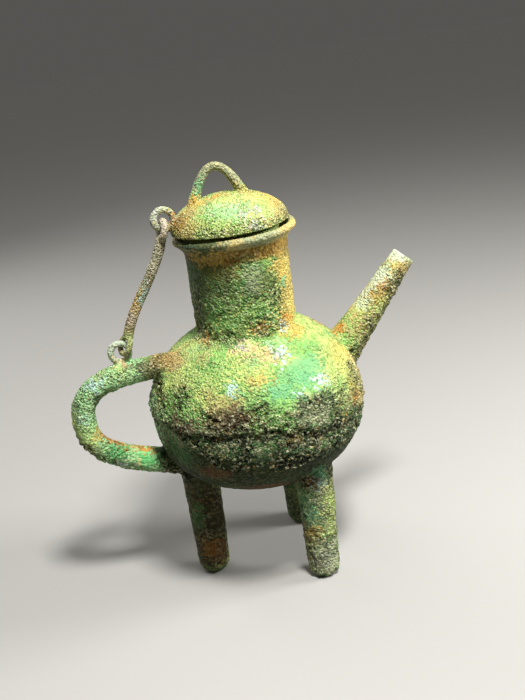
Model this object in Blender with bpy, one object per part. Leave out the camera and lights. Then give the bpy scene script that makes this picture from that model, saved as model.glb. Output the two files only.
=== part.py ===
# Ancient bronze ewer on three legs, with a domed lid that a long link holds to the handle.
# Metres, +Z up. The spout points along +X and the handle along -X. The shapes are drawn about the
# body's axis, and each piece is then placed so that the origin is on the ground, halfway between the
# handle's back and the spout's tip. The vessel is one hollow casting, the lid lifts off, and the link
# hangs in two rings.

import math

import bmesh
import bpy
from mathutils import Matrix, Vector

# Body: two half ovals that meet at the widest level
LEG_HEIGHT = 0.0569
BELLY_DEPTH = 0.0493
SHOULDER_RISE = 0.0500
BODY_RADIUS = 0.0622
BELLY_FULLNESS = 2.46
SHOULDER_FULLNESS = 2.03
BODY_WALL = 0.0028

# Neck and rolled lip
NECK_RADIUS = 0.0290
NECK_LENGTH = 0.0570
NECK_WALL = 0.0025
NECK_FILLET = 0.0040
LIP_RADIUS = 0.0350
LIP_ROLL = 0.0023
COVE_HEIGHT = 0.0090
COVE_DEPTH = 0.0005
COVE_LEVEL_SHARE = 0.6
RIM_TILT = math.radians(1.9)

# Spout, a straight taper cut square at its tip
SPOUT_ANGLE = math.radians(49)
SPOUT_ROOT_RISE = 0.0202
SPOUT_LENGTH = 0.0630
SPOUT_ROOT_RADIUS = 0.0111
SPOUT_TIP_RADIUS = 0.0069
SPOUT_FLARE = 0.0008
SPOUT_FLARE_LENGTH = 0.0105
SPOUT_WALL = 0.0023

# Handle, a round bar bent to a C. The bends are shares of the projection and of the two drops.
HANDLE_RADIUS = 0.0070
HANDLE_FOOT_RADIUS = 0.0079
HANDLE_PROJECTION = 0.0390
HANDLE_TOP_RISE = 0.0294
HANDLE_BACK_RISE = 0.0048
HANDLE_FOOT_DROP = 0.0307
HANDLE_FOOT_SLOPE = math.radians(16)
HANDLE_TOP_STRAIGHT_SHARE = 0.20
HANDLE_TOP_BEND_SHARES = (0.85, 0.66)
HANDLE_FOOT_BEND_SHARES = (0.77, 0.60)

# Ring on top of the handle
HANDLE_RING_RADIUS = 0.0054
HANDLE_RING_WIRE = 0.0017
HANDLE_RING_INSET = 0.0271
HANDLE_RING_SINK = 0.0010

# Three legs with rounded ends
LEG_CIRCLE = 0.0408
LEG_ANGLES = [math.radians(184), math.radians(-60), math.radians(52)]
LEG_TOP_RADIUS = 0.0115
LEG_FOOT_RADIUS = 0.0095
LEG_END_ROUND = 0.0065
LEG_FLAT_RADIUS = 0.0042

# Lid, a thin dome with a seating ring inside its edge
LID_RADIUS = 0.0333
LID_RISE = 0.0182
LID_WALL = 0.0026
DOME_FULLNESS = 2.0
LID_LIFT = 0.0017
LID_SHIFT = 0.0017
LID_TILT = math.radians(1.1)
SEAT_DEPTH = 0.0075
SEAT_WALL = 0.0022
SEAT_CLEARANCE = 0.0004

# Loop on top of the lid, steep towards the handle and sloping towards the spout. The bends are
# shares of each foot's distance and of the crown's height.
LOOP_WIRE = 0.0024
LOOP_FOOT_WIRE = 0.0038
LOOP_RISE = 0.0174
LOOP_REAR_FOOT = 0.0185
LOOP_FRONT_FOOT = 0.0105
LOOP_REAR_BEND_SHARES = (0.52, 1.03)
LOOP_FRONT_BEND_SHARES = (0.17, 0.97)

# Ring on the lid's edge
LID_RING_RADIUS = 0.0054
LID_RING_WIRE = 0.0020
LID_RING_RISE = 0.0095
LID_RING_OVERHANG = 0.0027

# Link, a bowed rod with an oval eye at each end. Each eye has spare room round the ring it holds.
ROD_RADIUS = 0.0030
UPPER_EYE_WIRE = 0.0021
LOWER_EYE_WIRE = 0.0016
UPPER_EYE_ROOM = (0.0015, 0.0009)
LOWER_EYE_ROOM = (0.0028, 0.0009)
UPPER_EYE_LEAN = math.radians(16)
LOWER_EYE_LEAN = math.radians(28)
UPPER_EYE_TURN = math.radians(8)
LOWER_EYE_TURN = math.radians(24)
ROD_FOOT_LEAN = math.radians(17)
ROD_BOW_SHARE = 0.33
LINK_CLEARANCE = 0.0003

# Sides of the round shapes
VESSEL_SIDES = 46
LID_SIDES = 36
LEG_SIDES = 16
SPOUT_SIDES = 18
BAR_SIDES = 14
WIRE_SIDES = 10
RING_STEPS = 18
EYE_STEPS = 18
ROD_STEPS = 12
LOOP_STEPS = 12
HANDLE_STEPS = 8


# Levels that follow from the sizes

def half_oval(rise, height, radius, fullness):
    """Radius of an oval's half at a rise above its widest level."""
    share = min(abs(rise) / height, 1.0)
    return radius * (1.0 - share ** fullness) ** (1.0 / fullness)


EQUATOR_Z = LEG_HEIGHT + BELLY_DEPTH
NECK_BASE_Z = EQUATOR_Z + half_oval(NECK_RADIUS, BODY_RADIUS, SHOULDER_RISE, SHOULDER_FULLNESS)
RIM_Z = NECK_BASE_Z + NECK_LENGTH
COVE_Z = RIM_Z - 2.0 * LIP_ROLL - COVE_HEIGHT
LIP_CENTRE = (LIP_RADIUS - LIP_ROLL, RIM_Z - LIP_ROLL)


def body_radius(z):
    """Outer radius of the body at a level."""
    if z < EQUATOR_Z:
        return half_oval(EQUATOR_Z - z, BELLY_DEPTH, BODY_RADIUS, BELLY_FULLNESS)
    return half_oval(z - EQUATOR_Z, SHOULDER_RISE, BODY_RADIUS, SHOULDER_FULLNESS)


def mouth_radius(z):
    """Inner radius of the mouth's flare at a level between the cove's foot and the lip."""
    low = NECK_RADIUS - NECK_WALL
    high = LIP_CENTRE[0] - LIP_ROLL
    share = (z - COVE_Z) / (LIP_CENTRE[1] - COVE_Z)
    return low + (high - low) * share


# Helpers that every piece uses

def bronze(name, color, roughness):
    """Corroded bronze in one colour."""
    material = bpy.data.materials.new(name)
    material.use_nodes = True
    shader = material.node_tree.nodes["Principled BSDF"]
    shader.inputs["Base Color"].default_value = (*color, 1.0)
    shader.inputs["Roughness"].default_value = roughness
    shader.inputs["Metallic"].default_value = 0.2
    material.diffuse_color = (*color, 1.0)
    return material


def arc(centre, radius, start, end, steps):
    """(r, z) points round an arc. The radius is one size, or a width and a height."""
    wide, high = radius if isinstance(radius, tuple) else (radius, radius)
    points = []
    for step in range(steps + 1):
        angle = math.radians(start + (end - start) * step / steps)
        points.append((centre[0] + wide * math.cos(angle), centre[1] + high * math.sin(angle)))
    return points


def bezier(start, first, second, end, steps):
    """Points along a cubic curve."""
    points = []
    for step in range(steps + 1):
        t = step / steps
        s = 1.0 - t
        points.append(start * s ** 3 + first * 3 * s * s * t + second * 3 * s * t * t + end * t ** 3)
    return points


def oval(centre, across, along, steps):
    """Points round an oval, from its centre and its two half axes."""
    turns = [math.tau * step / steps for step in range(steps)]
    return [centre + across * math.cos(turn) + along * math.sin(turn) for turn in turns]


def closed_mesh(name, work):
    """Mesh from a bmesh, with its seams merged and its faces pointing out."""
    bmesh.ops.remove_doubles(work, verts=work.verts, dist=1e-6)
    bmesh.ops.recalc_face_normals(work, faces=work.faces)
    mesh = bpy.data.meshes.new(name)
    work.to_mesh(mesh)
    work.free()
    mesh.shade_smooth()
    return mesh


def turned(name, profile, sides):
    """Solid turned about Z from (r, z) points that start and end on the axis."""
    work = bmesh.new()
    verts = [work.verts.new((r, 0.0, z)) for r, z in profile]
    edges = [work.edges.new(pair) for pair in zip(verts, verts[1:])]
    bmesh.ops.spin(work, geom=verts + edges, axis=(0, 0, 1), angle=math.tau, steps=sides, use_merge=True)
    return closed_mesh(name, work)


def bar(name, points, radii, sides, closed=False):
    """Round bar along points, capped unless it runs back into itself."""
    curve = bpy.data.curves.new(name, "CURVE")
    curve.dimensions = "3D"
    curve.bevel_depth = 1.0
    curve.bevel_resolution = (sides - 4) // 2
    curve.use_fill_caps = not closed
    spline = curve.splines.new("POLY")
    spline.points.add(len(points) - 1)
    spline.use_cyclic_u = closed
    for slot, point, radius in zip(spline.points, points, radii):
        slot.co = (*point, 1.0)
        slot.radius = radius
    holder = bpy.data.objects.new(name, curve)
    work = bmesh.new()
    work.from_mesh(bpy.data.meshes.new_from_object(holder))
    bpy.data.objects.remove(holder)
    return closed_mesh(name, work)


def piece(name, mesh, material):
    """Object that is a piece of the ewer."""
    mesh.materials.append(material)
    thing = bpy.data.objects.new(name, mesh)
    bpy.context.scene.collection.objects.link(thing)
    return thing


def combine(target, name, operation, tools):
    """Join (name, mesh, place) tools to a piece, or cut them out of it."""
    group = bpy.data.collections.new(name)
    bpy.context.scene.collection.children.link(group)
    for tool_name, mesh, place in tools:
        tool = bpy.data.objects.new(tool_name, mesh)
        tool.location = place
        tool.parent = target
        tool.hide_render = True
        tool.display_type = "WIRE"
        group.objects.link(tool)
    change = target.modifiers.new(name, "BOOLEAN")
    change.operation = operation
    change.operand_type = "COLLECTION"
    change.collection = group
    change.solver = "EXACT"


HERE = (0.0, 0.0, 0.0)


# Vessel

def body_outline(inset, top_radius, steps):
    """(r, z) points from the middle of the underside up to where the shoulder has narrowed."""
    radius = BODY_RADIUS - inset
    last = math.acos((top_radius / radius) ** (SHOULDER_FULLNESS / 2.0))
    points = []
    for step in range(steps + 1):
        angle = -math.pi / 2.0 + (last + math.pi / 2.0) * step / steps
        height = SHOULDER_RISE - inset if angle > 0.0 else inset - BELLY_DEPTH
        power = 2.0 / (SHOULDER_FULLNESS if angle > 0.0 else BELLY_FULLNESS)
        across = radius * abs(math.cos(angle)) ** power if step else 0.0
        points.append((across, EQUATOR_Z + height * abs(math.sin(angle)) ** power))
    return points


def lean_rim(mesh):
    """Raise the spout side of the rim, more and more from the middle of the neck to the cove's foot."""
    level = 0.5 * (NECK_BASE_Z + COVE_Z)
    for vert in mesh.vertices:
        share = min(max((vert.co.z - level) / (COVE_Z - level), 0.0), 1.0)
        vert.co.z += vert.co.x * math.tan(RIM_TILT) * share
    return mesh


def vessel_outside():
    """Body, neck and lip as one solid, closed level with the rim."""
    profile = body_outline(0.0, NECK_RADIUS + NECK_FILLET, 17)
    corner = Vector((NECK_RADIUS, NECK_BASE_Z))
    rise = Vector((NECK_RADIUS, NECK_BASE_Z + NECK_FILLET))
    shoulder = Vector(profile[-1])
    profile += [tuple(p) for p in bezier(shoulder, corner, corner, rise, 3)[1:]]
    foot = Vector((NECK_RADIUS, COVE_Z))
    bead = arc(LIP_CENTRE, LIP_ROLL, -70, 90, 6)
    hollow = Vector((NECK_RADIUS + COVE_DEPTH, COVE_Z + COVE_LEVEL_SHARE * COVE_HEIGHT))
    profile += [tuple(p) for p in bezier(foot, hollow, hollow, Vector(bead[0]), 4)[:-1]]
    profile += bead + [(0.0, RIM_Z)]
    return lean_rim(turned("vessel", profile, VESSEL_SIDES))


def vessel_hollow():
    """The space inside the body, neck and mouth."""
    neck = NECK_RADIUS - NECK_WALL
    above = RIM_Z + LIP_ROLL
    profile = body_outline(BODY_WALL, neck, 11)
    profile += [(neck, COVE_Z)]
    profile += arc(LIP_CENTRE, LIP_ROLL, 180, 105, 3)
    profile += [(LIP_CENTRE[0], above), (0.0, above)]
    return lean_rim(turned("hollow", profile, VESSEL_SIDES))


SPOUT_ROOT = Vector((body_radius(EQUATOR_Z + SPOUT_ROOT_RISE), 0.0, EQUATOR_Z + SPOUT_ROOT_RISE))
SPOUT_RUN = Vector((math.cos(SPOUT_ANGLE), 0.0, math.sin(SPOUT_ANGLE)))
SPOUT_TIP = SPOUT_ROOT + SPOUT_RUN * SPOUT_LENGTH
SPOUT_TAIL = 5.0 * BODY_WALL

# How far the pieces move along X, so that the origin is halfway between the handle's back and the tip
TIP_REACH = SPOUT_TIP.x + SPOUT_TIP_RADIUS * math.sin(SPOUT_ANGLE)
BACK_REACH = BODY_RADIUS + HANDLE_PROJECTION + HANDLE_RADIUS
MIDDLE = Vector((0.5 * (BACK_REACH - TIP_REACH), 0.0, 0.0))


def spout_radius(along):
    """Outer radius at a distance from the root. The taper is even, and widens where it joins."""
    share = min(max(along / SPOUT_LENGTH, 0.0), 1.0)
    taper = SPOUT_ROOT_RADIUS + (SPOUT_TIP_RADIUS - SPOUT_ROOT_RADIUS) * share
    return taper + SPOUT_FLARE * max(1.0 - max(along, 0.0) / SPOUT_FLARE_LENGTH, 0.0) ** 2


def spout_mesh():
    """The spout's outside, from inside the body to the tip."""
    flare = [SPOUT_FLARE_LENGTH * n / 3 for n in range(4)]
    stops = [-SPOUT_TAIL] + flare + [0.6 * SPOUT_LENGTH, SPOUT_LENGTH]
    points = [SPOUT_ROOT + SPOUT_RUN * stop for stop in stops]
    return bar("spout", points, [spout_radius(stop) for stop in stops], SPOUT_SIDES)


def spout_bore():
    """The channel through the spout, one wall smaller, running out past the tip."""
    stops = [-SPOUT_TAIL, SPOUT_LENGTH + SPOUT_WALL]
    points = [SPOUT_ROOT + SPOUT_RUN * stop for stop in stops]
    radii = [SPOUT_ROOT_RADIUS - SPOUT_WALL, SPOUT_TIP_RADIUS - SPOUT_WALL]
    return bar("spout_bore", points, radii, SPOUT_SIDES)


HANDLE_TOP_Z = EQUATOR_Z + HANDLE_TOP_RISE
HANDLE_FOOT_Z = EQUATOR_Z - HANDLE_FOOT_DROP
HANDLE_BACK = Vector((-BODY_RADIUS - HANDLE_PROJECTION, 0.0, EQUATOR_Z + HANDLE_BACK_RISE))
HANDLE_TAIL = HANDLE_FOOT_RADIUS + 2.0 * BODY_WALL


def handle_path():
    """Centreline of the handle, from inside the shoulder round to inside the belly."""
    top = Vector((-body_radius(HANDLE_TOP_Z), 0.0, HANDLE_TOP_Z))
    foot = Vector((-body_radius(HANDLE_FOOT_Z), 0.0, HANDLE_FOOT_Z))
    out = Vector((-1.0, 0.0, 0.0))
    up = Vector((0.0, 0.0, 1.0))
    slope = Vector((-math.cos(HANDLE_FOOT_SLOPE), 0.0, math.sin(HANDLE_FOOT_SLOPE)))
    start = top + out * HANDLE_TOP_STRAIGHT_SHARE * HANDLE_PROJECTION
    leave_top = start + out * HANDLE_TOP_BEND_SHARES[0] * HANDLE_PROJECTION
    reach_back = HANDLE_BACK + up * HANDLE_TOP_BEND_SHARES[1] * (HANDLE_TOP_Z - HANDLE_BACK.z)
    leave_back = HANDLE_BACK - up * HANDLE_FOOT_BEND_SHARES[1] * (HANDLE_BACK.z - HANDLE_FOOT_Z)
    reach_foot = foot + slope * HANDLE_FOOT_BEND_SHARES[0] * HANDLE_PROJECTION
    upper = bezier(start, leave_top, reach_back, HANDLE_BACK, HANDLE_STEPS)
    lower = bezier(HANDLE_BACK, leave_back, reach_foot, foot, HANDLE_STEPS)
    return [top - out * HANDLE_TAIL, top] + upper + lower[1:] + [foot - slope * HANDLE_TAIL]


def handle_mesh():
    path = handle_path()
    last = len(path) - 1
    spread = HANDLE_FOOT_RADIUS - HANDLE_RADIUS
    radii = [HANDLE_RADIUS + spread * max(2.0 * n / last - 1.0, 0.0) ** 2 for n in range(last + 1)]
    radii[0] = radii[1] = HANDLE_RADIUS + 0.5 * spread
    return bar("handle", path, radii, BAR_SIDES)


def handle_ring_centre():
    """Centre of the small ring, whose lowest stretch is sunk in the handle's top."""
    x = HANDLE_BACK.x + HANDLE_RING_INSET
    path = handle_path()
    z = max(a.z + (b.z - a.z) * (x - a.x) / (b.x - a.x)
            for a, b in zip(path, path[1:]) if min(a.x, b.x) <= x < max(a.x, b.x))
    return Vector((x, 0.0, z + HANDLE_RADIUS - HANDLE_RING_SINK + HANDLE_RING_WIRE + HANDLE_RING_RADIUS))


def ring_mesh(name, centre, radius, wire):
    """Upright ring in the plane of the spout and the handle."""
    points = oval(centre, Vector((radius, 0.0, 0.0)), Vector((0.0, 0.0, radius)), RING_STEPS)
    return bar(name, points, [wire] * RING_STEPS, WIRE_SIDES, closed=True)


def leg_mesh():
    """A leg on its own axis, from the ground up into the belly."""
    reach = LEG_CIRCLE + LEG_TOP_RADIUS
    wall_top = EQUATOR_Z - half_oval(reach, BODY_RADIUS, BELLY_DEPTH, BELLY_FULLNESS)
    top = wall_top + 3.0 * BODY_WALL
    centre = (LEG_FLAT_RADIUS, LEG_END_ROUND)
    profile = [(0.0, 0.0)]
    profile += arc(centre, (LEG_FOOT_RADIUS - LEG_FLAT_RADIUS, LEG_END_ROUND), -90, 0, 4)
    profile += [(LEG_TOP_RADIUS, wall_top), (LEG_TOP_RADIUS, top), (0.0, top)]
    return turned("leg", profile, LEG_SIDES)


def build_vessel():
    vessel = piece("ewer", vessel_outside(), bronze("crusted_bronze", (0.23, 0.31, 0.13), 0.85))
    ring = ring_mesh("handle_ring", handle_ring_centre(), HANDLE_RING_RADIUS, HANDLE_RING_WIRE)
    added = [("spout", spout_mesh(), HERE), ("handle", handle_mesh(), HERE), ("handle_ring", ring, HERE)]
    leg = leg_mesh()
    for number, angle in enumerate(LEG_ANGLES, 1):
        place = (LEG_CIRCLE * math.cos(angle), LEG_CIRCLE * math.sin(angle), 0.0)
        added.append((f"leg_{number}", leg, place))
    combine(vessel, "joined_on", "UNION", added)
    combine(vessel, "hollowed_out", "DIFFERENCE",
            [("hollow", vessel_hollow(), HERE), ("spout_bore", spout_bore(), HERE)])
    vessel.location = MIDDLE


# Lid, drawn about the middle of its edge

LID_PLACE = Vector((-LID_SHIFT, 0.0, RIM_Z + LID_LIFT))
LID_SEAT = Matrix.Translation(LID_PLACE) @ Matrix.Rotation(-LID_TILT, 4, "Y")
SEAT_RADIUS = mouth_radius(LID_PLACE.z - SEAT_DEPTH) - LID_SHIFT - SEAT_CLEARANCE


def dome_height(radius):
    """Height of the dome's outside at a radius."""
    return half_oval(radius, LID_RADIUS, LID_RISE, DOME_FULLNESS)


def lid_outside():
    """Dome and seating ring, with the groove between them, still solid in the middle."""
    inner = LID_RADIUS - LID_WALL
    profile = arc((0.0, 0.0), (LID_RADIUS, LID_RISE), 90, 0, 11)
    stop = math.degrees(math.acos(SEAT_RADIUS / inner))
    profile += arc((0.0, 0.0), (inner, LID_RISE - LID_WALL), 0, stop, 3)
    profile += [(SEAT_RADIUS, -SEAT_DEPTH), (0.0, -SEAT_DEPTH)]
    profile[0] = (0.0, LID_RISE)
    return turned("lid", profile, LID_SIDES)


def lid_hollow():
    """The space under the dome, inside the seating ring."""
    seat_inside = SEAT_RADIUS - SEAT_WALL
    below = -2.0 * SEAT_DEPTH
    inner = LID_RADIUS - LID_WALL
    stop = math.degrees(math.acos(seat_inside / inner))
    profile = arc((0.0, 0.0), (inner, LID_RISE - LID_WALL), 90, stop, 7)
    profile += [(seat_inside, below), (0.0, below)]
    profile[0] = (0.0, LID_RISE - LID_WALL)
    return turned("lid_hollow", profile, LID_SIDES)


def loop_mesh():
    """Carrying loop, a bent bar whose feet widen into the dome."""
    rear = Vector((-LOOP_REAR_FOOT, 0.0, dome_height(LOOP_REAR_FOOT) - LID_WALL))
    front = Vector((LOOP_FRONT_FOOT, 0.0, dome_height(LOOP_FRONT_FOOT) - LID_WALL))
    crown = LID_RISE + LOOP_RISE - LOOP_WIRE
    pull = (8.0 * crown - rear.z - front.z) / 6.0
    rear_bend = Vector((-LOOP_REAR_BEND_SHARES[0] * LOOP_REAR_FOOT, 0.0, LOOP_REAR_BEND_SHARES[1] * pull))
    front_bend = Vector((LOOP_FRONT_BEND_SHARES[0] * LOOP_FRONT_FOOT, 0.0, LOOP_FRONT_BEND_SHARES[1] * pull))
    points = bezier(rear, rear_bend, front_bend, front, LOOP_STEPS)
    spread = LOOP_FOOT_WIRE - LOOP_WIRE
    radii = [LOOP_WIRE + spread * abs(2.0 * n / LOOP_STEPS - 1.0) ** 3 for n in range(LOOP_STEPS + 1)]
    return bar("loop", points, radii, WIRE_SIDES)


def lid_ring_centre():
    """Centre of the ring on the lid's handle side, in the lid's own frame."""
    return Vector((-LID_RADIUS - LID_RING_OVERHANG, 0.0, LID_RING_RISE))


def build_lid():
    lid = piece("lid", lid_outside(), bronze("lid_bronze", (0.31, 0.35, 0.15), 0.8))
    ring = ring_mesh("lid_ring", lid_ring_centre(), LID_RING_RADIUS, LID_RING_WIRE)
    combine(lid, "lid_fittings", "UNION", [("loop", loop_mesh(), HERE), ("lid_ring", ring, HERE)])
    combine(lid, "lid_hollowed", "DIFFERENCE", [("lid_hollow", lid_hollow(), HERE)])
    lid.location = MIDDLE + LID_PLACE
    lid.rotation_euler = (0.0, -LID_TILT, 0.0)


# Link

def eye_axes(lean, turn):
    """Directions across and down an eye that leans towards the handle and is turned about the rod."""
    down = Vector((-math.sin(lean), 0.0, -math.cos(lean)))
    across = Matrix.Rotation(turn, 3, -down) @ Vector((0.0, 1.0, 0.0))
    return across, down


def eye_mesh(name, centre, across, down, wire):
    """Oval eye of one wire, from its centre and its two half axes."""
    return bar(name, oval(centre, across, down, EYE_STEPS), [wire] * EYE_STEPS, WIRE_SIDES, closed=True)


def build_link():
    """The upper eye hangs in the lid's ring, and the lower one lies against the side of the handle's."""
    across_top, down_top = eye_axes(UPPER_EYE_LEAN, UPPER_EYE_TURN)
    across_low, down_low = eye_axes(LOWER_EYE_LEAN, LOWER_EYE_TURN)
    hang = LID_RING_RADIUS - LID_RING_WIRE - UPPER_EYE_WIRE - LINK_CLEARANCE
    beside = (HANDLE_RING_WIRE + LOWER_EYE_WIRE + LINK_CLEARANCE) / math.cos(LOWER_EYE_TURN)
    slack = HANDLE_RING_RADIUS - beside
    hook = LID_SEAT @ lid_ring_centre() + down_top * hang
    foot = handle_ring_centre() + Vector((-down_low.z, 0.0, down_low.x)) * slack
    upper_long = LID_RING_RADIUS - hang + LID_RING_WIRE + UPPER_EYE_WIRE + UPPER_EYE_ROOM[1]
    lower_long = HANDLE_RING_RADIUS + HANDLE_RING_WIRE + LOWER_EYE_WIRE + LOWER_EYE_ROOM[1]
    upper_half_wide = LID_RING_WIRE + UPPER_EYE_WIRE + 0.5 * UPPER_EYE_ROOM[0]
    lower_half_wide = HANDLE_RING_WIRE + LOWER_EYE_WIRE + 0.5 * LOWER_EYE_ROOM[0]
    rod_start = down_top * upper_long
    rod_end = foot - hook - down_low * lower_long
    down_rod = Vector((-math.sin(ROD_FOOT_LEAN), 0.0, -math.cos(ROD_FOOT_LEAN)))
    pull = ROD_BOW_SHARE * (rod_end - rod_start).length
    path = bezier(rod_start, rod_start + down_top * pull, rod_end - down_rod * pull, rod_end, ROD_STEPS)
    rod = bar("lid_link", path, [ROD_RADIUS] * len(path), WIRE_SIDES)
    upper = eye_mesh("upper_eye", 0.5 * rod_start, across_top * upper_half_wide, 0.5 * rod_start,
                     UPPER_EYE_WIRE)
    lower = eye_mesh("lower_eye", 0.5 * (rod_end + foot - hook), across_low * lower_half_wide,
                     down_low * 0.5 * lower_long, LOWER_EYE_WIRE)
    link = piece("lid_link", rod, bronze("link_bronze", (0.40, 0.41, 0.31), 0.75))
    combine(link, "eyes", "UNION", [("upper_eye", upper, HERE), ("lower_eye", lower, HERE)])
    link.location = MIDDLE + hook


for leftover in list(bpy.data.objects):
    bpy.data.objects.remove(leftover)
build_vessel()
build_lid()
build_link()
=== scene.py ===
# The finished bronze ewer, built round its frame: one section for each piece, in the order in which the
# real one goes together, and then the camera, the floor and the lights. Shapes are drawn in millimetres
# about the body's axis, with the spout along +X, and are made metres when they are placed.

import math

import bmesh
import bpy
from mathutils import Matrix, Vector, noise
from mathutils.bvhtree import BVHTree


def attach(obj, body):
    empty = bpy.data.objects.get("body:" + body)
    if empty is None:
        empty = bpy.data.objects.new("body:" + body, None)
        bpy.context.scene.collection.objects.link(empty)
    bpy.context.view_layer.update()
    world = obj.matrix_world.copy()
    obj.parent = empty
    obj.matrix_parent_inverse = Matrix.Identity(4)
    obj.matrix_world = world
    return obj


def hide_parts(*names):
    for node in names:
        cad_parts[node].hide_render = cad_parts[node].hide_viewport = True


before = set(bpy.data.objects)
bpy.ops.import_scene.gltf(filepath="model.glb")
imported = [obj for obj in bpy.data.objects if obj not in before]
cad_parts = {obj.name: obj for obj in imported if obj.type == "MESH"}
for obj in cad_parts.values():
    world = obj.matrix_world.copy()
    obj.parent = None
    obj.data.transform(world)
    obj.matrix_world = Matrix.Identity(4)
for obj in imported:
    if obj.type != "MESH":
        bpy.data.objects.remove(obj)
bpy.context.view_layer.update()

# The vessel
# Body, neck, lip, spout, handle and legs are one hollow bronze casting. Burial left a crust of green,
# ochre and tan corrosion grains on it, thickest round the belly and gone from the underside.

LEG_HEIGHT = 56.9
BELLY_DEPTH = 49.3
SHOULDER_RISE = 50.0
BODY_RADIUS = 62.2
BELLY_FULLNESS = 2.46
SHOULDER_FULLNESS = 2.03
BODY_WALL = 2.8
NECK_RADIUS = 29.0
NECK_LENGTH = 57.0
NECK_WALL = 2.5
NECK_FILLET = 4.0
LIP_RADIUS = 35.0
LIP_ROLL = 2.3
COVE_HEIGHT = 9.0
COVE_DEPTH = 0.5
COVE_LEVEL_SHARE = 0.6
RIM_TILT = math.radians(1.9)
SPOUT_ANGLE = math.radians(49)
SPOUT_ROOT_RISE = 20.2
SPOUT_LENGTH = 63.0
SPOUT_ROOT_RADIUS = 11.1
SPOUT_TIP_RADIUS = 6.9
SPOUT_FLARE = 0.8
SPOUT_FLARE_LENGTH = 10.5
SPOUT_WALL = 2.3
HANDLE_RADIUS = 7.0
HANDLE_FOOT_RADIUS = 7.9
HANDLE_PROJECTION = 39.0
HANDLE_TOP_RISE = 29.4
HANDLE_BACK_RISE = 4.8
HANDLE_FOOT_DROP = 30.7
HANDLE_FOOT_SLOPE = math.radians(16)
HANDLE_TOP_STRAIGHT_SHARE = 0.20
HANDLE_TOP_BEND_SHARES = (0.85, 0.66)
HANDLE_FOOT_BEND_SHARES = (0.77, 0.60)
HANDLE_RING_RADIUS = 5.4
HANDLE_RING_WIRE = 1.7
HANDLE_RING_INSET = 27.1
HANDLE_RING_SINK = 1.0
LEG_CIRCLE = 40.8
LEG_ANGLES = [math.radians(184), math.radians(-60), math.radians(52)]
LEG_TOP_RADIUS = 11.5
LEG_FOOT_RADIUS = 9.5
LEG_END_ROUND = 6.5
LEG_FLAT_RADIUS = 4.2

VESSEL_SIDES = 144
BAR_SIDES = 32
VESSEL_MESH_STEP = 0.8
VESSEL_TRIANGLES = 192000
VESSEL_CRUST_GRAIN = 2.6
VESSEL_CRUST_RELIEF = 0.85
VESSEL_COLOUR_GRAIN = 1.42


def half_oval(rise, height, radius, fullness):
    """Radius of an oval's half at a rise above its widest level."""
    share = min(abs(rise) / height, 1.0)
    return radius * (1.0 - share ** fullness) ** (1.0 / fullness)


EQUATOR_Z = LEG_HEIGHT + BELLY_DEPTH
NECK_BASE_Z = EQUATOR_Z + half_oval(NECK_RADIUS, BODY_RADIUS, SHOULDER_RISE, SHOULDER_FULLNESS)
RIM_Z = NECK_BASE_Z + NECK_LENGTH
COVE_Z = RIM_Z - 2.0 * LIP_ROLL - COVE_HEIGHT
LIP_CENTRE = (LIP_RADIUS - LIP_ROLL, RIM_Z - LIP_ROLL)


def body_radius(z):
    """Outer radius of the body at a level."""
    if z < EQUATOR_Z:
        return half_oval(EQUATOR_Z - z, BELLY_DEPTH, BODY_RADIUS, BELLY_FULLNESS)
    return half_oval(z - EQUATOR_Z, SHOULDER_RISE, BODY_RADIUS, SHOULDER_FULLNESS)


def arc(centre, radius, start, end, steps):
    """(r, z) points round an arc. The radius is one size, or a width and a height."""
    wide, high = radius if isinstance(radius, tuple) else (radius, radius)
    angles = [math.radians(start + (end - start) * step / steps) for step in range(steps + 1)]
    return [(centre[0] + wide * math.cos(angle), centre[1] + high * math.sin(angle)) for angle in angles]


def bezier(start, first, second, end, steps):
    """Points along a cubic curve."""
    points = []
    for step in range(steps + 1):
        t = step / steps
        s = 1.0 - t
        points.append(start * s ** 3 + first * 3 * s * s * t + second * 3 * s * t * t + end * t ** 3)
    return points


def closed_mesh(name, work):
    """Mesh from a bmesh, with its seams merged and its faces pointing out."""
    bmesh.ops.remove_doubles(work, verts=work.verts, dist=0.001)
    bmesh.ops.recalc_face_normals(work, faces=work.faces)
    mesh = bpy.data.meshes.new(name)
    work.to_mesh(mesh)
    work.free()
    return mesh


def turned(name, profile, sides):
    """Solid turned about Z from (r, z) points that start and end on the axis."""
    work = bmesh.new()
    verts = [work.verts.new((r, 0.0, z)) for r, z in profile]
    edges = [work.edges.new(pair) for pair in zip(verts, verts[1:])]
    bmesh.ops.spin(work, geom=verts + edges, axis=(0, 0, 1), angle=math.tau, steps=sides, use_merge=True)
    return closed_mesh(name, work)


def bar(name, points, radii, sides=BAR_SIDES, closed=False):
    """Round bar along points, capped unless it runs back into itself."""
    curve = bpy.data.curves.new(name, "CURVE")
    curve.dimensions = "3D"
    curve.bevel_depth = 1.0
    curve.bevel_resolution = (sides - 4) // 2
    curve.use_fill_caps = not closed
    spline = curve.splines.new("POLY")
    spline.points.add(len(points) - 1)
    spline.use_cyclic_u = closed
    for slot, point, radius in zip(spline.points, points, radii):
        slot.co = (*point, 1.0)
        slot.radius = radius
    holder = bpy.data.objects.new(name, curve)
    work = bmesh.new()
    work.from_mesh(bpy.data.meshes.new_from_object(holder))
    bpy.data.objects.remove(holder)
    return closed_mesh(name, work)


def shown(name, mesh):
    """Object of a mesh in the scene, at the origin."""
    thing = bpy.data.objects.new(name, mesh)
    bpy.context.scene.collection.objects.link(thing)
    return thing


def settled(thing):
    """The mesh of an object with its modifiers applied. The object goes."""
    depsgraph = bpy.context.evaluated_depsgraph_get()
    mesh = bpy.data.meshes.new_from_object(thing.evaluated_get(depsgraph))
    mesh.materials.clear()
    bpy.data.objects.remove(thing)
    return mesh


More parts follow.
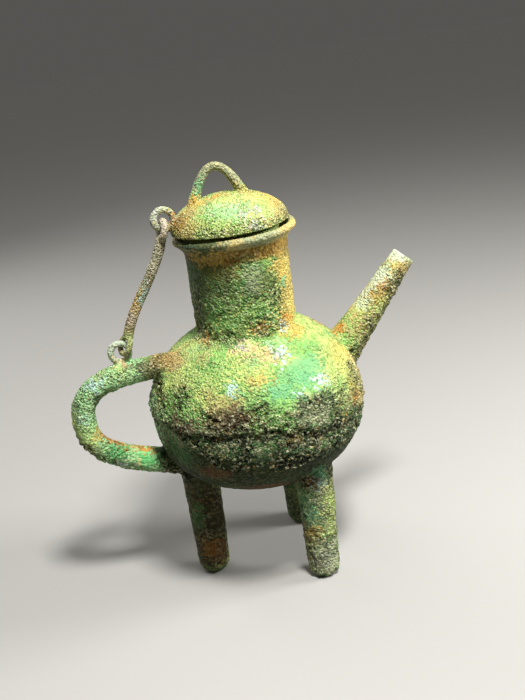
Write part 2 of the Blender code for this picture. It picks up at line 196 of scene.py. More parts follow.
def joined_and_cut(name, mesh, added, removed):
    """The mesh with shapes joined on and then others cut out."""
    whole = shown(name, mesh)
    tools = []
    for operation, shapes in (("UNION", added), ("DIFFERENCE", removed)):
        for shape in shapes:
            tool = shown(shape.name, shape)
            change = whole.modifiers.new(shape.name, "BOOLEAN")
            change.operation = operation
            change.object = tool
            change.solver = "MANIFOLD"
            tools.append(tool)
    result = settled(whole)
    for tool in tools:
        bpy.data.objects.remove(tool)
    return result


def even_mesh(name, mesh, step):
    """The same closed form in small even faces, with its sharp edges worn round."""
    thing = shown(name, mesh)
    change = thing.modifiers.new("even", "REMESH")
    change.mode = "VOXEL"
    change.voxel_size = step
    return settled(thing)


def thinned(name, mesh, triangles):
    """The mesh with its flattest faces merged, down to about a number of triangles."""
    mesh.calc_loop_triangles()
    share = min(triangles / len(mesh.loop_triangles), 1.0)
    thing = shown(name, mesh)
    change = thing.modifiers.new("thin", "DECIMATE")
    change.ratio = share
    return settled(thing)


def body_outline(inset, top_radius, steps):
    """(r, z) points from the middle of the underside up to where the shoulder has narrowed."""
    radius = BODY_RADIUS - inset
    last = math.acos((top_radius / radius) ** (SHOULDER_FULLNESS / 2.0))
    points = []
    for step in range(steps + 1):
        angle = -math.pi / 2.0 + (last + math.pi / 2.0) * step / steps
        height = SHOULDER_RISE - inset if angle > 0.0 else inset - BELLY_DEPTH
        power = 2.0 / (SHOULDER_FULLNESS if angle > 0.0 else BELLY_FULLNESS)
        across = radius * abs(math.cos(angle)) ** power if step else 0.0
        points.append((across, EQUATOR_Z + height * abs(math.sin(angle)) ** power))
    return points


def lean_rim(mesh):
    """Raise the spout side of the rim, more and more from the middle of the neck to the cove's foot."""
    level = 0.5 * (NECK_BASE_Z + COVE_Z)
    for vert in mesh.vertices:
        share = min(max((vert.co.z - level) / (COVE_Z - level), 0.0), 1.0)
        vert.co.z += vert.co.x * math.tan(RIM_TILT) * share
    return mesh


def vessel_outside():
    """Body, neck and lip as one solid, closed level with the rim."""
    profile = body_outline(0.0, NECK_RADIUS + NECK_FILLET, 64)
    corner = Vector((NECK_RADIUS, NECK_BASE_Z))
    rise = Vector((NECK_RADIUS, NECK_BASE_Z + NECK_FILLET))
    profile += [tuple(p) for p in bezier(Vector(profile[-1]), corner, corner, rise, 8)[1:]]
    foot = Vector((NECK_RADIUS, COVE_Z))
    profile += [(NECK_RADIUS, rise.y + (foot.y - rise.y) * share / 4) for share in range(1, 4)]
    bead = arc(LIP_CENTRE, LIP_ROLL, -70, 90, 12)
    hollow = Vector((NECK_RADIUS + COVE_DEPTH, COVE_Z + COVE_LEVEL_SHARE * COVE_HEIGHT))
    profile += [tuple(p) for p in bezier(foot, hollow, hollow, Vector(bead[0]), 10)[:-1]]
    profile += bead + [(0.0, RIM_Z)]
    return lean_rim(turned("vessel", profile, VESSEL_SIDES))


def vessel_hollow():
    """The space inside the body, neck and mouth."""
    neck = NECK_RADIUS - NECK_WALL
    above = RIM_Z + LIP_ROLL
    profile = body_outline(BODY_WALL, neck, 48)
    profile += [(neck, profile[-1][1] + (COVE_Z - profile[-1][1]) * share / 4) for share in range(1, 5)]
    profile += arc(LIP_CENTRE, LIP_ROLL, 180, 105, 6)
    profile += [(LIP_CENTRE[0], above), (0.0, above)]
    return lean_rim(turned("hollow", profile, VESSEL_SIDES))


SPOUT_ROOT = Vector((body_radius(EQUATOR_Z + SPOUT_ROOT_RISE), 0.0, EQUATOR_Z + SPOUT_ROOT_RISE))
SPOUT_RUN = Vector((math.cos(SPOUT_ANGLE), 0.0, math.sin(SPOUT_ANGLE)))
SPOUT_TIP = SPOUT_ROOT + SPOUT_RUN * SPOUT_LENGTH
SPOUT_TAIL = 5.0 * BODY_WALL


def spout_radius(along):
    """Outer radius at a distance from the root. The taper is even, and widens where it joins."""
    share = min(max(along / SPOUT_LENGTH, 0.0), 1.0)
    taper = SPOUT_ROOT_RADIUS + (SPOUT_TIP_RADIUS - SPOUT_ROOT_RADIUS) * share
    return taper + SPOUT_FLARE * max(1.0 - max(along, 0.0) / SPOUT_FLARE_LENGTH, 0.0) ** 2


def spout_mesh():
    """The spout's outside, from inside the body to the tip."""
    steps = 24
    stops = [-SPOUT_TAIL] + [SPOUT_LENGTH * step / steps for step in range(steps + 1)]
    points = [SPOUT_ROOT + SPOUT_RUN * stop for stop in stops]
    return bar("spout", points, [spout_radius(stop) for stop in stops])


def spout_bore():
    """The channel through the spout, one wall smaller, running out past the tip."""
    points = [SPOUT_ROOT - SPOUT_RUN * SPOUT_TAIL, SPOUT_TIP + SPOUT_RUN * SPOUT_WALL]
    return bar("spout_bore", points, [SPOUT_ROOT_RADIUS - SPOUT_WALL, SPOUT_TIP_RADIUS - SPOUT_WALL])


HANDLE_TOP_Z = EQUATOR_Z + HANDLE_TOP_RISE
HANDLE_FOOT_Z = EQUATOR_Z - HANDLE_FOOT_DROP
HANDLE_BACK = Vector((-BODY_RADIUS - HANDLE_PROJECTION, 0.0, EQUATOR_Z + HANDLE_BACK_RISE))
HANDLE_TAIL = HANDLE_FOOT_RADIUS + 2.0 * BODY_WALL


def handle_path():
    """Centreline of the handle, from inside the shoulder round to inside the belly."""
    top = Vector((-body_radius(HANDLE_TOP_Z), 0.0, HANDLE_TOP_Z))
    foot = Vector((-body_radius(HANDLE_FOOT_Z), 0.0, HANDLE_FOOT_Z))
    out = Vector((-1.0, 0.0, 0.0))
    up = Vector((0.0, 0.0, 1.0))
    slope = Vector((-math.cos(HANDLE_FOOT_SLOPE), 0.0, math.sin(HANDLE_FOOT_SLOPE)))
    start = top + out * HANDLE_TOP_STRAIGHT_SHARE * HANDLE_PROJECTION
    leave_top = start + out * HANDLE_TOP_BEND_SHARES[0] * HANDLE_PROJECTION
    reach_back = HANDLE_BACK + up * HANDLE_TOP_BEND_SHARES[1] * (HANDLE_TOP_Z - HANDLE_BACK.z)
    leave_back = HANDLE_BACK - up * HANDLE_FOOT_BEND_SHARES[1] * (HANDLE_BACK.z - HANDLE_FOOT_Z)
    reach_foot = foot + slope * HANDLE_FOOT_BEND_SHARES[0] * HANDLE_PROJECTION
    upper = bezier(start, leave_top, reach_back, HANDLE_BACK, 24)
    lower = bezier(HANDLE_BACK, leave_back, reach_foot, foot, 24)
    return [top - out * HANDLE_TAIL, top] + upper + lower[1:] + [foot - slope * HANDLE_TAIL]


def handle_mesh():
    path = handle_path()
    last = len(path) - 1
    spread = HANDLE_FOOT_RADIUS - HANDLE_RADIUS
    radii = [HANDLE_RADIUS + spread * max(2.0 * n / last - 1.0, 0.0) ** 2 for n in range(last + 1)]
    radii[0] = radii[1] = HANDLE_RADIUS + 0.5 * spread
    return bar("handle", path, radii)


def handle_ring_centre():
    """Centre of the small ring, whose lowest stretch is sunk in the handle's top."""
    x = HANDLE_BACK.x + HANDLE_RING_INSET
    path = handle_path()
    z = max(a.z + (b.z - a.z) * (x - a.x) / (b.x - a.x)
            for a, b in zip(path, path[1:]) if min(a.x, b.x) <= x < max(a.x, b.x))
    return Vector((x, 0.0, z + HANDLE_RADIUS - HANDLE_RING_SINK + HANDLE_RING_WIRE + HANDLE_RING_RADIUS))


HANDLE_RING_CENTRE = handle_ring_centre()


def oval_bar(name, centre, across, along, wire):
    """Closed round of one wire, from its centre and its two half axes."""
    steps = 48
    turns = [math.tau * step / steps for step in range(steps)]
    points = [centre + across * math.cos(turn) + along * math.sin(turn) for turn in turns]
    return bar(name, points, [wire] * steps, sides=20, closed=True)


def ring_mesh(name, centre, radius, wire):
    """Upright ring in the plane of the spout and the handle."""
    return oval_bar(name, centre, Vector((radius, 0.0, 0.0)), Vector((0.0, 0.0, radius)), wire)


def leg_mesh(angle):
    """A leg from the ground up into the belly."""
    reach = LEG_CIRCLE + LEG_TOP_RADIUS
    wall_top = EQUATOR_Z - half_oval(reach, BODY_RADIUS, BELLY_DEPTH, BELLY_FULLNESS)
    top = wall_top + 3.0 * BODY_WALL
    profile = [(0.0, 0.0)]
    foot = (LEG_FOOT_RADIUS - LEG_FLAT_RADIUS, LEG_END_ROUND)
    profile += arc((LEG_FLAT_RADIUS, LEG_END_ROUND), foot, -90, 0, 12)
    profile += [(LEG_TOP_RADIUS, wall_top), (LEG_TOP_RADIUS, top), (0.0, top)]
    leg = turned("leg", profile, BAR_SIDES)
    leg.transform(Matrix.Translation((LEG_CIRCLE * math.cos(angle), LEG_CIRCLE * math.sin(angle), 0.0)))
    return leg


TIP_REACH = SPOUT_TIP.x + SPOUT_TIP_RADIUS * math.sin(SPOUT_ANGLE)
BACK_REACH = BODY_RADIUS + HANDLE_PROJECTION + HANDLE_RADIUS
AXIS = Vector((0.5 * (BACK_REACH - TIP_REACH), 0.0, 0.0))

ring = ring_mesh("handle_ring", HANDLE_RING_CENTRE, HANDLE_RING_RADIUS, HANDLE_RING_WIRE)
vessel = joined_and_cut("ewer", vessel_outside(),
                        [spout_mesh(), handle_mesh(), ring] + [leg_mesh(angle) for angle in LEG_ANGLES],
                        [vessel_hollow(), spout_bore()])
vessel.transform(Matrix.Translation(AXIS))
vessel = even_mesh("ewer", vessel, VESSEL_MESH_STEP)


def ease(value, low, high):
    """0 below low, 1 above high and a smooth rise between. It falls if low is the larger."""
    share = min(max((value - low) / (high - low), 0.0), 1.0)
    return share * share * (3.0 - 2.0 * share)


def grain_top(point, size):
    """Height of rounded grains of a size: 1 on their tops and 0 in the cracks between them."""
    near = noise.voronoi(point / size)[0][0]
    return max(1.0 - 2.6 * near * near, 0.0)


def neighbours(*nodes):
    """The surfaces of other frame nodes, in millimetres, for measuring the room to them."""
    trees = []
    for node in nodes:
        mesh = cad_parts[node].data
        points = [vert.co * 1000.0 for vert in mesh.vertices]
        trees.append(BVHTree.FromPolygons(points, [tuple(face.vertices) for face in mesh.polygons]))
    return trees


CLUSTER_OFFSET = Vector((40.0, 9.0, 3.0))
PIT_OFFSET = Vector((11.0, 52.0, 30.0))
FINE_SHARE = 0.45
CLUSTER_SHARE = 0.55
CLUSTER_SIZE = 1.9
PIT_SIZE = 0.7
PIT_DEPTH = 0.8
ROOM_REACH = 2.0
ROOM_LEFT = 0.1
ROOM_SHARE = 0.35


def grain_lift(point, rough, grain):
    """How far the grains and pits stand above or below their mean, as a share of the relief."""
    height = FINE_SHARE * grain_top(point, grain)
    height += CLUSTER_SHARE * grain_top(point + CLUSTER_OFFSET, CLUSTER_SIZE * grain)
    pit = ease(noise.noise((point + PIT_OFFSET) / (PIT_SIZE * grain)), 0.15, 0.5)
    return rough * (height - 0.5 - PIT_DEPTH * rough * pit)


def within_room(rise, point, near):
    """The rise, held back where another piece is close."""
    for tree in near:
        room = tree.find_nearest(point, ROOM_REACH)[3]
        if room is not None:
            rise = min(rise, ROOM_SHARE * (room - ROOM_LEFT))
    return rise


def crusted(mesh, roughness, swell, grain, relief, near):
    """Raise the crust on a mesh. roughness(point, normal) gives a share from 0 to 1, and swell(point) a
    height. The roughness and the level of the grains, 0.5 on the mean, are kept as two attributes."""
    level_values = []
    crust_values = []
    places = []
    for vert in mesh.vertices:
        point = vert.co
        rough = roughness(point, vert.normal)
        rise = 0.0
        level = 0.5
        if rough > 0.0:
            lift = grain_lift(point, rough, grain)
            rise = 2.0 * relief * lift + swell(point)
            level += lift
        places.append(point + vert.normal * within_room(rise, point, near))
        level_values.append(level)
        crust_values.append(rough)
    for vert, place in zip(mesh.vertices, places):
        place.z = max(place.z, 0.0)
        vert.co = place
    for name, values in (("level", level_values), ("crust", crust_values)):
        mesh.attributes.new(name, "FLOAT", "POINT").data.foreach_set("value", values)
    return mesh


def in_hollow(around):
    """Whether a point of the vessel's skin, measured from the axis, is on the inner side of the wall."""
    out = math.hypot(around.x, around.y)
    along = (around - SPOUT_ROOT).dot(SPOUT_RUN)
    if along > 0.0:
        off = (around - SPOUT_ROOT - SPOUT_RUN * along).length
        return off < spout_radius(along) - 0.5 * SPOUT_WALL and along < SPOUT_LENGTH - 0.5
    if around.z > COVE_Z:
        return out < mouth_radius(min(around.z, LIP_CENTRE[1])) + 0.5 * NECK_WALL
    if around.z > EQUATOR_Z:
        return out < max(body_radius(around.z), NECK_RADIUS) - 0.5 * NECK_WALL
    return around.z > LEG_HEIGHT and out < body_radius(around.z) - 0.5 * BODY_WALL


def mouth_radius(z):
    """Inner radius of the mouth's flare at a level between the cove's foot and the lip."""
    low = NECK_RADIUS - NECK_WALL
    high = LIP_CENTRE[0] - LIP_ROLL
    return low + (high - low) * (z - COVE_Z) / (LIP_CENTRE[1] - COVE_Z)


CRUST_FOOT_Z = 86.0
CRUST_HEAD_Z = 123.0
LEDGE_Z = 108.5
LEDGE_DROP = 8.0
LEDGE_RISE = 0.9
LEDGE_UNDERCUT = 0.5
CRUST_EDGE = 0.7
FRONT_LEG = Vector((20.4, -35.3))
SPOUT_UNDERSIDE = Vector((0.62, -0.45, -0.60))

# Smooth places on the vessel, each with its reach
SMOOTH_SPOTS = [
    (Vector((22, -47, 133)), 15.0),
    (Vector((6, -55, 128)), 10.0),
    (Vector((-67, -6, 84)), 9.0),
    (Vector((-20, 44, 133)), 20.0),
    (Vector((38, 34, 128)), 16.0),
]


def crust_foot(turn, point):
    """Level below which the crust is gone. turn is the angle about the axis, 0 in front."""
    front = CRUST_FOOT_Z + 18.0 * ease(turn, -0.45, -1.0) + 6.0 * ease(abs(turn), 1.6, 2.4)
    return front + 6.0 * noise.noise(point / 17.0) + 3.0 * noise.noise(point / 5.0)


def crust_head(turn, point):
    """Level above which the grains are fine."""
    side = CRUST_HEAD_Z + 9.0 * ease(turn, -0.3, -0.9) + 9.0 * ease(turn, 1.4, 2.0)
    return side + 9.0 * noise.noise(point / 15.0) + 4.0 * noise.noise(point / 5.0)


def ledge_level(turn, point):
    """Level of the ledge that the crust makes round the belly, lower towards the spout."""
    level = LEDGE_Z - LEDGE_DROP * ease(turn, -0.1, 0.5)
    return level + 2.5 * noise.noise(point / 12.0) + 1.5 * noise.noise(point / 4.0)


def on_handle(around):
    """Whether a point of the vessel's skin, measured from the axis, is on the handle or its ring."""
    inside = body_radius(min(around.z, EQUATOR_Z + SHOULDER_RISE))
    return around.z > LEG_HEIGHT + 10.0 and around.x < -0.5 - max(inside, LIP_RADIUS)


def spout_crust(along, normal):
    """Coarser on the side that faces the ground, and smooth at the tip."""
    under = normal.dot(SPOUT_UNDERSIDE)
    return (0.34 + 0.4 * ease(under, -0.2, 0.5)) * ease(along, SPOUT_LENGTH + 1.0, SPOUT_LENGTH - 7.0)


def handle_crust(around, normal):
    """Coarser on the back and under the lower bend, and fine on the small ring."""
    ring_near = ease((around - HANDLE_RING_CENTRE).length, 7.0, 10.0)
    under = ease(normal.z, 0.2, -0.7) * ease(around.x, -74.0, -84.0)
    return 0.12 + (0.26 + 0.30 * ease(normal.x, 0.6, -0.6) + 0.4 * under) * ring_near


def neck_crust(around):
    """Coarser low down and away from the spout, fine in the cove, and nearly smooth on the lip."""
    if around.z > COVE_Z:
        return 0.26 - 0.12 * ease(around.z, RIM_Z - 6.0, RIM_Z - 4.0)
    return 0.32 + 0.34 * ease(around.z, 190.0, 172.0) * ease(around.x, 26.0, 12.0)


def underside_crust(around):
    """Fine on the bare underside and the legs, and coarse on the front leg."""
    front_leg = ease((around.xy - FRONT_LEG).length, 17.0, 12.0)
    on_leg = ease(around.z, 62.0, 54.0)
    return 0.24 + 0.10 * on_leg * (1.0 - front_leg) + 0.42 * front_leg * ease(around.z, 78.0, 71.0)


def body_crust(around, head):
    """Coarsest round the belly, fine above the level head, and coarser where the neck stands."""
    value = 0.34 + 0.66 * ease(around.z, head + 3.0, head - 4.0)
    return value + 0.35 * ease(around.z, 146.0, 151.0) * ease(around.x, 16.0, 6.0)


def vessel_roughness(point, normal):
    """How rough the crust is, from the bare casting at 0 to coarse grains at 1."""
    around = point - AXIS
    if in_hollow(around):
        return 0.0
    turn = math.atan2(around.x, -around.y)
    along = (around - SPOUT_ROOT).dot(SPOUT_RUN)
    if along > 1.0 and math.hypot(around.x, around.y) > NECK_RADIUS + 12.0:
        value = spout_crust(along, normal)
    elif on_handle(around):
        value = handle_crust(around, normal)
    elif point.z > NECK_BASE_Z + 2.0:
        value = neck_crust(around)
    elif point.z < crust_foot(turn, point):
        value = underside_crust(around)
    else:
        value = body_crust(around, crust_head(turn, point))
    for centre, reach in SMOOTH_SPOTS:
        value *= 1.0 - 0.75 * ease((point - centre).length, reach, 0.5 * reach)
    vary = 0.8 + 0.7 * noise.noise(point / 11.0 + PIT_OFFSET)
    return min(value * vary, 1.0)


def vessel_swell(point):
    """Slow unevenness of the casting, the ledge round the belly, and the crust's lower edge."""
    around = point - AXIS
    height = 0.30 * noise.noise(point / 30.0) + 0.25 * noise.noise(point / 8.0)
    on_body = math.hypot(around.x, around.y) < BODY_RADIUS + 1.0
    if not on_body or not LEG_HEIGHT + 5.0 < point.z < NECK_BASE_Z:
        return height
    turn = math.atan2(around.x, -around.y)
    above = point.z - ledge_level(turn, point)
    height += LEDGE_RISE * ease(above, -0.6, 0.8) * ease(above, 13.0, 3.0)
    height -= LEDGE_UNDERCUT * ease(above, 0.4, -0.8) * ease(above, -6.0, -2.0)
    foot = crust_foot(turn, point)
    height += CRUST_EDGE * ease(point.z, foot - 0.6, foot + 0.6) * ease(point.z, foot + 30.0, foot + 4.0)
    return height


def placed(name, mesh):
    """Object of a finished mesh, smooth and made metres."""
    mesh.transform(Matrix.Scale(0.001, 4))
    mesh.shade_smooth()
    return shown(name, mesh)


vessel = crusted(vessel, vessel_roughness, vessel_swell, VESSEL_CRUST_GRAIN, VESSEL_CRUST_RELIEF,
                 neighbours("lid", "lid_link"))
vessel = thinned("ewer", vessel, VESSEL_TRIANGLES)
ewer = placed("ewer_crusted", vessel)


class Value:
    """A number that varies over a surface. Arithmetic on it adds the Math nodes."""

    def __init__(self, finish, socket):
        self.finish = finish
        self.socket = socket

    def with_math(self, operation, first, second):
        node = self.finish.node("ShaderNodeMath", {"operation": operation}, {0: first, 1: second})
        return Value(self.finish, node.outputs[0])

    def __add__(self, other):
        return self.with_math("ADD", self, other)

    __radd__ = __add__

    def __sub__(self, other):
        return self.with_math("SUBTRACT", self, other)

    def __rsub__(self, other):
        return self.with_math("SUBTRACT", other, self)

    def __mul__(self, other):
        return self.with_math("MULTIPLY", self, other)

    __rmul__ = __mul__


class Finish:
    """A material and its nodes."""

    def __init__(self, name):
        self.material = bpy.data.materials.new(name)
        self.material.use_nodes = True
        self.tree = self.material.node_tree
        self.shader = self.tree.nodes["Principled BSDF"]

    def feed(self, socket, value):
        """Link a socket, or set it to a number, a colour or a place."""
        if isinstance(value, Value):
            value = value.socket
        if isinstance(value, bpy.types.NodeSocket):
            self.tree.links.new(value, socket)
        elif isinstance(value, tuple) and len(socket.default_value) == 4:
            socket.default_value = (*value[:3], 1.0)
        else:
            socket.default_value = value

    def node(self, kind, settings, sockets):
        """A node of a kind. Its settings come first, and then its sockets, by name or number."""
        node = self.tree.nodes.new(kind)
        for name, value in settings.items():
            setattr(node, name, value)
        for name, value in sockets.items():
            self.feed(node.inputs[name], value)
        return node

    def vector(self, operation, first, second):
        """Vector Math on two places or colours."""
        node = self.node("ShaderNodeVectorMath", {"operation": operation}, {0: first, 1: second})
        return node.outputs[0]

    def place(self):
        """Where a point of the surface is, in millimetres."""
        coordinates = self.node("ShaderNodeTexCoord", {}, {})
        return self.vector("MULTIPLY", coordinates.outputs["Object"], (1000.0, 1000.0, 1000.0))

    def stored(self, name):
        """An attribute of the mesh."""
        node = self.node("ShaderNodeAttribute", {"attribute_name": name}, {})
        return Value(self, node.outputs["Fac"])

    def clouds(self, place, size, detail=2.0):
        """Soft noise from 0 to 1, with features of a size in millimetres."""
        node = self.node("ShaderNodeTexNoise", {},
                         {"Vector": place, "Scale": 1.0 / size, "Detail": detail})
        return Value(self, node.outputs[0])

    def jitter(self, place, size, reach):
        """The place pushed about by noise of a size, so that edges drawn with it are ragged."""
        node = self.node("ShaderNodeTexNoise", {}, {"Vector": place, "Scale": 1.0 / size, "Detail": 3.0})
        centred = self.vector("SUBTRACT", node.outputs["Color"], (0.5, 0.5, 0.5))
        push = 3.0 * reach
        return self.vector("ADD", place, self.vector("MULTIPLY", centred, (push, push, push)))

    def grains(self, place, size):
        """Cells of a size: how far their middles are, a colour for each one, and their middles."""
        node = self.node("ShaderNodeTexVoronoi", {}, {"Vector": place, "Scale": 1.0 / size})
        return Value(self, node.outputs["Distance"]), node.outputs["Color"], node.outputs["Position"]

    def between(self, value, low, high):
        """0 below low, 1 above high and a smooth rise between."""
        node = self.node("ShaderNodeMapRange", {"interpolation_type": "SMOOTHSTEP"},
                         {"Value": value, "From Min": low, "From Max": high})
        return Value(self, node.outputs[0])

    def mix(self, share, first, second):
        """Colour between two others."""
        node = self.node("ShaderNodeMix", {"data_type": "RGBA"}, {0: share, 6: first, 7: second})
        return node.outputs[2]

    def over(self, colour, tone, value, low, high, most=None):
        """A tone over a colour: none of it below low, and all or the most of it above high."""
        share = self.between(value, low, high)
        return self.mix(share if most is None else share * most, colour, tone)

    def parts(self, vector):
        """The three numbers of a place or colour."""
        node = self.node("ShaderNodeSeparateXYZ", {}, {0: vector})
        return [Value(self, output) for output in node.outputs]

    def spot(self, place, centre, reach):
        """1 inside an oval patch round a centre and 0 outside it. reach is its three half sizes."""
        shares = tuple(1.0 / size for size in reach)
        scaled = self.vector("MULTIPLY", self.vector("SUBTRACT", place, centre), shares)
        length = self.node("ShaderNodeVectorMath", {"operation": "LENGTH"}, {0: scaled})
        return self.between(Value(self, length.outputs["Value"]), 1.25, 0.75)


def tint(red, green, blue):
    """A colour given in 0 to 255 as a screen shows it."""
    def linear(share):
        return share / 12.92 if share <= 0.04045 else ((share + 0.055) / 1.055) ** 2.4
    return tuple(linear(part / 255.0) for part in (red, green, blue))


YELLOW_GREEN = tint(176, 190, 106)
LEAF_GREEN = tint(120, 166, 86)
MALACHITE = tint(66, 114, 60)
DARK_GREEN = tint(38, 62, 38)
OLIVE = tint(60, 72, 38)
TURQUOISE = tint(96, 154, 108)
MINT = tint(158, 206, 142)
PALE_BLUE = tint(176, 206, 198)
LILAC = tint(172, 170, 168)
SALMON = tint(208, 176, 128)
TAN = tint(176, 150, 96)
OCHRE = tint(186, 152, 74)
ORANGE = tint(190, 124, 44)
RUST = tint(112, 60, 26)
PURPLE_BROWN = tint(98, 72, 56)
DEEP_GREEN = tint(22, 34, 8)
MOSS = tint(36, 50, 12)
NEAR_BLACK = tint(24, 25, 14)
CREAM = tint(214, 214, 168)
GREY_GREEN = tint(136, 142, 108)
BROWN = tint(84, 72, 40)
COVE_BROWN = tint(130, 88, 24)
AMBER = tint(212, 182, 98)
EMERALD = tint(92, 172, 98)
FROST = tint(204, 212, 184)
SHADOWED_PEAT = tint(42, 32, 9)
ASH = tint(172, 178, 156)


def grain_colours_and_highlights(finish, colour, shades, crust, level):
    """Pale, ochre and dark grains on a colour, and a painted highlight of cream on the tops of what
    stands high.
    """
    red, green, blue = shades
    colour = finish.over(colour, CREAM, red, 0.55, 0.90, crust * 0.72 - 0.08)
    colour = finish.over(colour, OCHRE, green, 0.88, 0.96, crust * 0.5)
    colour = finish.over(colour, DARK_GREEN, blue, 0.72, 1.0, 0.45)
    # Painted highlight on the grain tops.
    return finish.over(colour, CREAM, level, 0.58, 0.85, crust * 0.8)


def with_painted_shade(finish, colour, crumb, distance, crust, level):
    """A colour with painted shade between its crumbs, between its grains and in its pits."""
    colour = finish.over(colour, NEAR_BLACK, crumb, 0.47, 0.34, crust * 0.36 + 0.10)
    colour = finish.over(colour, NEAR_BLACK, distance, 0.34, 0.66, crust * 0.6)
    return finish.over(colour, NEAR_BLACK, level, 0.32, -0.05, 0.45)


def crusted_bronze(name, ground, patches, grain, bump):
    """Bronze under a crust of coloured grains. ground(finish, place, wide, shades) gives the base
    colour, and each patch is a colour, its strength, its centre and its reach."""
    finish = Finish(name)
    place = finish.place()
    distance, shade, middle = finish.grains(finish.jitter(place, 2.2, 0.35), grain)
    shades = finish.parts(shade)
    loose = finish.vector("ADD", finish.vector("MULTIPLY", shade, (5.0, 5.0, 5.0)), middle)
    wide = finish.jitter(finish.jitter(loose, 9.0, 4.0), 2.6, 1.6)
    wide = finish.vector("ADD", wide, (-2.5, -2.5, -2.5))
    colour = ground(finish, place, wide, shades)
    for tone, strength, centre, reach in patches:
        colour = finish.mix(finish.spot(wide, centre, reach) * strength, colour, tone)
    crust = finish.stored("crust")
    level = finish.stored("level")
    crumb = finish.clouds(place, 1.2, 1.0)
    colour = grain_colours_and_highlights(finish, colour, shades, crust, level)
    # Painted shade in the cracks and pits of the crust.
    colour = with_painted_shade(finish, colour, crumb, distance, crust, level)
    height = ((1.0 - distance) * 0.9 + crumb * 2.4) * (crust + 0.10)
    raised = finish.node("ShaderNodeBump", {}, {"Strength": bump, "Distance": 0.0022, "Height": height})
    finish.feed(finish.shader.inputs["Base Color"], colour)
    finish.feed(finish.shader.inputs["Roughness"], finish.clouds(place, 2.0) * 0.6 + 0.30)
    finish.feed(finish.shader.inputs["Metallic"], finish.between(crust, 0.3, 0.0) * 0.12)
    finish.feed(finish.shader.inputs["Specular IOR Level"], 0.12)
    finish.feed(finish.shader.inputs["Normal"], raised.outputs[0])
    return finish.material


# Levels, and places along X, between which one ground colour gives way to the next
BAND_LEVELS = (121.0, 111.0)
DARK_LEVELS = (109.0, 104.0)
BARE_LEVELS = (98.0, 88.0)
LEG_LEVELS = (66.0, 58.0)
NECK_LEVELS = (151.0, 156.0)
COVE_LEVELS = (191.0, 195.5)
LIP_LEVELS = (200.6, 202.4)
HANDLE_EDGE = (-57.0, -62.0)
SPOUT_EDGE = (60.0, 66.0)


def body_ground(finish, x, z, slow, other, red, green):
    """Yellow and leaf green on the shoulder, greyer round the belly, and dark below the ledge."""
    colour = finish.over(LEAF_GREEN, YELLOW_GREEN, slow + red * 0.20, 0.50, 0.76)
    colour = finish.over(colour, TAN, other, 0.57, 0.72, 0.6)
    colour = finish.over(colour, TURQUOISE, other, 0.44, 0.30, 0.6)
    band = finish.over(LEAF_GREEN, GREY_GREEN, other + red * 0.2, 0.45, 0.7)
    colour = finish.over(colour, band, z, *BAND_LEVELS, 0.85)
    dark = finish.over(MALACHITE, GREY_GREEN, red, 0.2, 0.8)
    dark = finish.over(dark, OLIVE, green, 0.5, 0.9, 0.7)
    colour = finish.over(colour, dark, z, *DARK_LEVELS, 0.85)
    low = finish.over(DEEP_GREEN, MOSS, slow + green * 0.15, 0.45, 0.66)
    return finish.over(colour, low, z + x * 0.15, *BARE_LEVELS)


def leg_ground(finish, slow, other, red, green):
    """Grey and leaf green with brown clouds and yellow grains."""
    leg = finish.over(LEAF_GREEN, GREY_GREEN, other + green * 0.2, 0.46, 0.66)
    leg = finish.over(leg, BROWN, slow, 0.50, 0.60, 0.7)
    return finish.over(leg, YELLOW_GREEN, red, 0.5, 0.7, 0.6)


def neck_ground(finish, x, y, z, slow, other, red, green):
    """Malachite and olive, yellower low down, and amber towards the spout."""
    neck = finish.over(MALACHITE, LEAF_GREEN, other + red * 0.2, 0.42, 0.68)
    neck = finish.over(neck, OLIVE, slow, 0.56, 0.44, 0.5)
    neck = finish.over(neck, YELLOW_GREEN, z, 182.0, 166.0, finish.between(green, 0.5, 0.7))
    return finish.over(neck, AMBER, x + y * 0.3, 6.0, 18.0, 0.7)


def with_rim(finish, colour, height, other, red):
    """A colour with the brown cove and the grey-green lip above their levels."""
    cove = finish.over(COVE_BROWN, OCHRE, red, 0.5, 0.8, 0.6)
    cove = finish.over(cove, MALACHITE, other, 0.5, 0.38, 0.45)
    colour = finish.over(colour, cove, height, *COVE_LEVELS, 0.9)
    lip = finish.over(GREY_GREEN, OCHRE, other + red * 0.2, 0.5, 0.8, 0.5)
    return finish.over(colour, lip, height, *LIP_LEVELS)


def handle_ground(finish, slow, other, red):
    """Leaf green to mint, with yellow-green clouds."""
    handle = finish.over(LEAF_GREEN, MINT, other + red * 0.2, 0.32, 0.54)
    return finish.over(handle, YELLOW_GREEN, slow, 0.5, 0.62, 0.7)


def spout_ground(finish, x, z, slow, other, red, green):
    """Yellow-green and tan, greyer towards the tip and brown underneath."""
    spout = finish.over(YELLOW_GREEN, TAN, other + red * 0.25, 0.5, 0.8)
    spout = finish.over(spout, LEAF_GREEN, slow + green * 0.2, 0.6, 0.5, 0.15)
    spout = finish.over(spout, GREY_GREEN, z, 150.0, 178.0, 0.7)
    under = x * 0.755 - z * 0.656
    return finish.over(spout, BROWN, under, -36.5, -31.5, 0.7)


def vessel_ground(finish, place, wide, shades):
    """Ground colour of the vessel, by its parts, with slow clouds of colour."""
    x, y, z = finish.parts(wide)
    red, green = shades[:2]
    slow = finish.clouds(wide, 24.0)
    other = finish.clouds(finish.vector("ADD", wide, (90.0, 20.0, 50.0)), 13.0)
    height = finish.parts(finish.jitter(place, 4.0, 0.8))[2]
    leg = leg_ground(finish, slow, other, red, green)
    neck = neck_ground(finish, x, y, z, slow, other, red, green)
    handle = handle_ground(finish, slow, other, red)
    spout = spout_ground(finish, x, z, slow, other, red, green)
    colour = body_ground(finish, x, z, slow, other, red, green)
    colour = finish.over(colour, leg, z, *LEG_LEVELS)
    colour = finish.over(colour, neck, z, *NECK_LEVELS)
    colour = with_rim(finish, colour, height, other, red)
    colour = finish.over(colour, handle, x, *HANDLE_EDGE)
    return finish.over(colour, spout, x, *SPOUT_EDGE)


